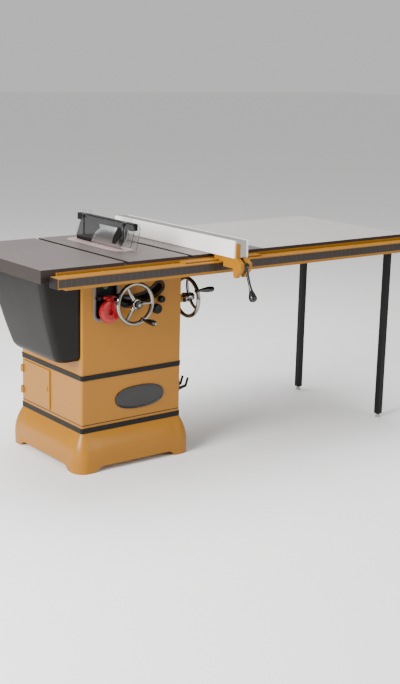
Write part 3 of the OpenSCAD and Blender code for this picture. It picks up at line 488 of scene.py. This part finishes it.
# ------------------------------------------------------------------ stop paddle and adjusters
SWITCH_X = -126
dish = [(0, 256), (43, 256), (45.4, 257), (46, 259.5), (46, 268), (44, 272.6), (39, 275.4), (32, 276),
        (24, 274.6), (16, 273.8), (12.8, 273.2), (12, 271.8), (12, 264), (0, 264)]
barrel = [(3.05, 0), (5.4, 0), (6, 0.8), (6, 51.2), (5.4, 52), (3.05, 52)]
paddle = [turned(dish, facing_front(SWITCH_X, 645), steps=96),
          block((SWITCH_X - 13.5, -271, 676), (SWITCH_X + 13.5, -250.5, 699), 1.5),
          turned(barrel, lengthwise(SWITCH_X - 26, -256, 700), closed=True)]
piece("stop_paddle_moulding", paddle, "red_plastic", "paddle", ["stop_paddle"])

adjusters = []
for x, z, r in ((108, 628, 20), (129, 665, 14)):
    fluted = [(0, 238), (8, 238), (8, 242), (r - 1.4, 242), (r, 243.6), (r, 258.5), (r - 2, 261.4),
              (r * 0.5, 262), (r * 0.42, 260.6), (0, 260.6)]
    adjusters.append(turned(fluted, facing_front(x, z), steps=96, lobes=16, lobe_depth=0.07))
piece("stop_knobs_fluted", adjusters, "black_plastic", "cabinet", ["stop_adjusters"])


def surround_grid():
    """A frame on a rectangle of half sizes 52 and 90 whose corners turn on 20 mm; each row grows the
    rectangle and its corners by one amount, and the rows run over a flat lip with eased edges."""
    grow = np.array([-3.6, -3.6, -2.6, 6.4, 8.0, 8.4, 8.4])[None]
    rise = np.array([236.0, 241.0, 241.9, 241.9, 241.3, 240.0, 238.05])[None]
    steps, corner, mid_z = 12, 20, 702
    quarter = np.linspace(0, np.pi / 2, steps)[None]
    angle = (quarter + np.arange(4)[:, None] * np.pi / 2).ravel()[:, None]
    side_x = np.repeat([1, -1, -1, 1], steps)[:, None]
    side_z = np.repeat([1, 1, -1, -1], steps)[:, None]
    x = SWITCH_X + side_x * 32 + (corner + grow) * np.cos(angle)
    z = mid_z + side_z * 70 + (corner + grow) * np.sin(angle)
    return np.stack([x, -rise + 0 * x, z], -1) * MM, True, True, False


# Painted highlight: the surround is black moulded ABS, given a mid grey all round for the light its lip
# catches on the left; the same soft grain as the black, and a little glossier.
lip_painted_highlight = finish("abs_black_lip_painted_highlight", "#5b5755", "#6a6663", 0.0, (0.36, 0.50), 1.4, 0.06, edge_mm=1.0)
# The black plastic surround takes the grey painted highlight in place of its slot's black.
piece("switch_surround", [surround_grid()], "black_plastic", "cabinet", sharp=50, material=lip_painted_highlight)
button = [(0, 31.2), (7.2, 31.2), (7.6, 31.7), (6.6, 32.7), (0, 33.1)]
for name, place in (("raise", front), ("tilt", side)):
    piece(f"{name}_knob_cap", [turned(button, place)], "chrome", f"{name}_lock")


def sheet_grid(outline, x0, x1):
    """An outline in Y and Z, eight points to a side, given a thickness along X."""
    outline = np.asarray(outline, float)
    ends = np.roll(outline, -1, axis=0)
    step = np.linspace(0, 1, 8, endpoint=False)[:, None]
    ring = (outline[:, None] + (ends - outline)[:, None] * step).reshape(-1, 2)
    P = np.stack([np.column_stack([np.full(len(ring), x), ring]) for x in (x0, x1)], 1)
    return P * MM, True, False, True


# A skin 0.2 mm proud of each shield's fin, because a part holds one finish and the shield is clear.
for name, x0, x1, low in (("left", -16.9, -14.4, 880), ("right", 14.4, 16.9, 868)):
    fin = [(-149.6, 952.3), (-176.4, 948.3), (-170.4, 919.8), (-132.2, low + 2.6), (-107.6, low + 2.6),
           (-115.6, 905.2)]
    piece(f"{name}_guard_fin", [sheet_grid(fin, x0, x1)], "black_paint", f"{name}_guard", sharp=20)


# ------------------------------------------------------------------ badge
def badge_grid():
    """A superellipse plate, with a raised rounded border and a shallow dome inside it."""
    power, mid_x, mid_z, half_x, half_z, face_y = 2.4, 35, 273, 117.5, 47.5, -238
    t = np.linspace(0, 2 * np.pi, 128, endpoint=False)[:, None]
    k = np.array([1, 1, 0.985, 0.955, 0.93, 0.9, 0.6, 0.3, 0, 0])[None]
    rise = np.array([0, 4.0, 4.8, 4.9, 4.0, 3.2, 3.9, 4.3, 4.4, 0])[None]
    c, s = np.cos(t), np.sin(t)
    x = mid_x + half_x * k * np.sign(c) * np.abs(c) ** (2 / power)
    z = mid_z + half_z * k * np.sign(s) * np.abs(s) ** (2 / power)
    return np.stack([x, face_y - rise + 0 * t, z], -1) * MM, True, True, False


piece("oval_plate", [badge_grid()], "grip_plastic", "cabinet", ["front_badge"], sharp=50)

# ------------------------------------------------------------------ fence lever
# The lever leans out from its boss by a power of its length and swells into a grip near its end.
s = np.linspace(0, 1, 40)
lever_path = np.stack([0 * s + 280, -592 - 53.5 * s ** 1.15, 836 - 130 * s], 1)
swell = np.interp(s, [0, 0.1, 0.55, 0.68, 0.8, 0.88, 0.94, 0.98, 1],
                  [7, 6.6, 5.6, 7.4, 13.5, 16.6, 15.6, 10.5, 2])
boss = [(5.05, 0), (10, 0), (11, 1), (11, 17), (10, 18), (5.05, 18)]
lever = [rod(lever_path, swell, swell, (1, 0, 0), steps=32),
         turned(boss, lengthwise(271, -590, 839), closed=True)]
piece("lock_lever_forging", lever, "grip_plastic", "lock_lever", ["fence_lever"])


# ------------------------------------------------------------------ blade
def blade_grid(teeth=40):
    """Radius by angle over one pitch: a steep face, a tip, a falling back and a round gullet. Tips are
    as thick as the kerf and the plate behind them is thinner."""
    step = np.array([0, 0.06, 0.16, 0.40, 0.52, 0.62, 0.72, 0.82, 0.90, 0.955])
    radius = np.array([127, 126.8, 126.2, 124.6, 121.5, 118.6, 117.2, 117.6, 119.6, 123])
    turn = ((np.arange(teeth)[:, None] + step) * 2 * np.pi / teeth).ravel()
    r = np.tile(radius, teeth)
    kerf_half, plate_half, bore_r, arbor_y, arbor_z = 1.3, 0.95, 7.94, -45, 802
    half = np.where(r > 126, kerf_half, plate_half)
    bore, hold = np.full_like(r, bore_r), np.full_like(r, plate_half)
    loops = [(r, -half), (r - 5.5, -hold), (bore, -hold), (bore, hold), (r - 5.5, hold), (r, half)]
    P = [np.stack([x, arbor_y + q * np.sin(turn), arbor_z + q * np.cos(turn)], -1) for q, x in loops]
    return np.stack(P, 1) * MM, True, True, False


piece("saw_blade_plate", [blade_grid()], "steel", "arbor", ["saw_blade"], sharp=20)

# ------------------------------------------------------------------ motor
# A turned case: domed end bells, a row of cooling fins between them, and a blind bore for the shaft.
case = [(0, -330), (48, -330), (62, -327.5), (66.5, -323), (67, -316), (71, -315)]
FINS, FIN_FROM, FIN_PITCH = 13, -310, 10.6
for k in range(FINS):
    x = FIN_FROM + FIN_PITCH * k
    case += [(71, x), (74.2, x + 0.6), (75, x + 1.4), (75, x + 3.2), (74.2, x + 4.0), (71, x + 4.6)]
case += [(71, -171), (69, -169.5), (69, -158), (65, -152.5), (52, -150), (11.05, -150),
         (11.05, -189.9), (0, -189.9)]
terminal_box = block((-270, -5, 758), (-180, 75, 780), 2.0)
piece("motor_case_finned", [turned(case, lengthwise(0, 35, 697), steps=96), terminal_box],
      "grey_cast", "carriage", ["motor_body"])

# ------------------------------------------------------------------ floor, light
floor_mesh = bpy.data.meshes.new("floor")
FLOOR = 40
floor_mesh.from_pydata([(-FLOOR, -FLOOR, 0), (FLOOR, -FLOOR, 0), (FLOOR, FLOOR, 0), (-FLOOR, FLOOR, 0)],
                       [], [(0, 1, 2, 3)])
# Painted studio floor: an even near white, quite dull.
floor_paint = finish("studio_floor_pale", "#f2f1ef", "#f5f4f3", 0.0, (0.7, 0.8), 8.0, 0.02)
floor_mesh.materials.append(floor_paint)
floor = bpy.data.objects.new("floor", floor_mesh)
bpy.context.scene.collection.objects.link(floor)

world = bpy.data.worlds.new("studio")
bpy.context.scene.world = world
world.use_nodes = True
sky = world.node_tree.nodes["Background"]
sky.inputs["Color"].default_value = (1.0, 1.0, 1.0, 1.0)
sky.inputs["Strength"].default_value = 0.62
AIM = Vector((0.25, 0.0, 0.55))
lamps = (("key_left", (-4.2, -1.0, 2.6), 2.2, 520.0), ("top_soft", (0.4, 0.6, 4.2), 3.0, 220.0),
         ("front_fill", (1.6, -4.6, 2.0), 2.4, 60.0))
for name, at, size, watts in lamps:
    lamp_data = bpy.data.lights.new(name, "AREA")
    lamp_data.size, lamp_data.energy = size, watts
    lamp = bpy.data.objects.new(name, lamp_data)
    bpy.context.scene.collection.objects.link(lamp)
    lamp.location = at
    lamp.rotation_euler = (AIM - Vector(at)).to_track_quat("-Z", "Y").to_euler()
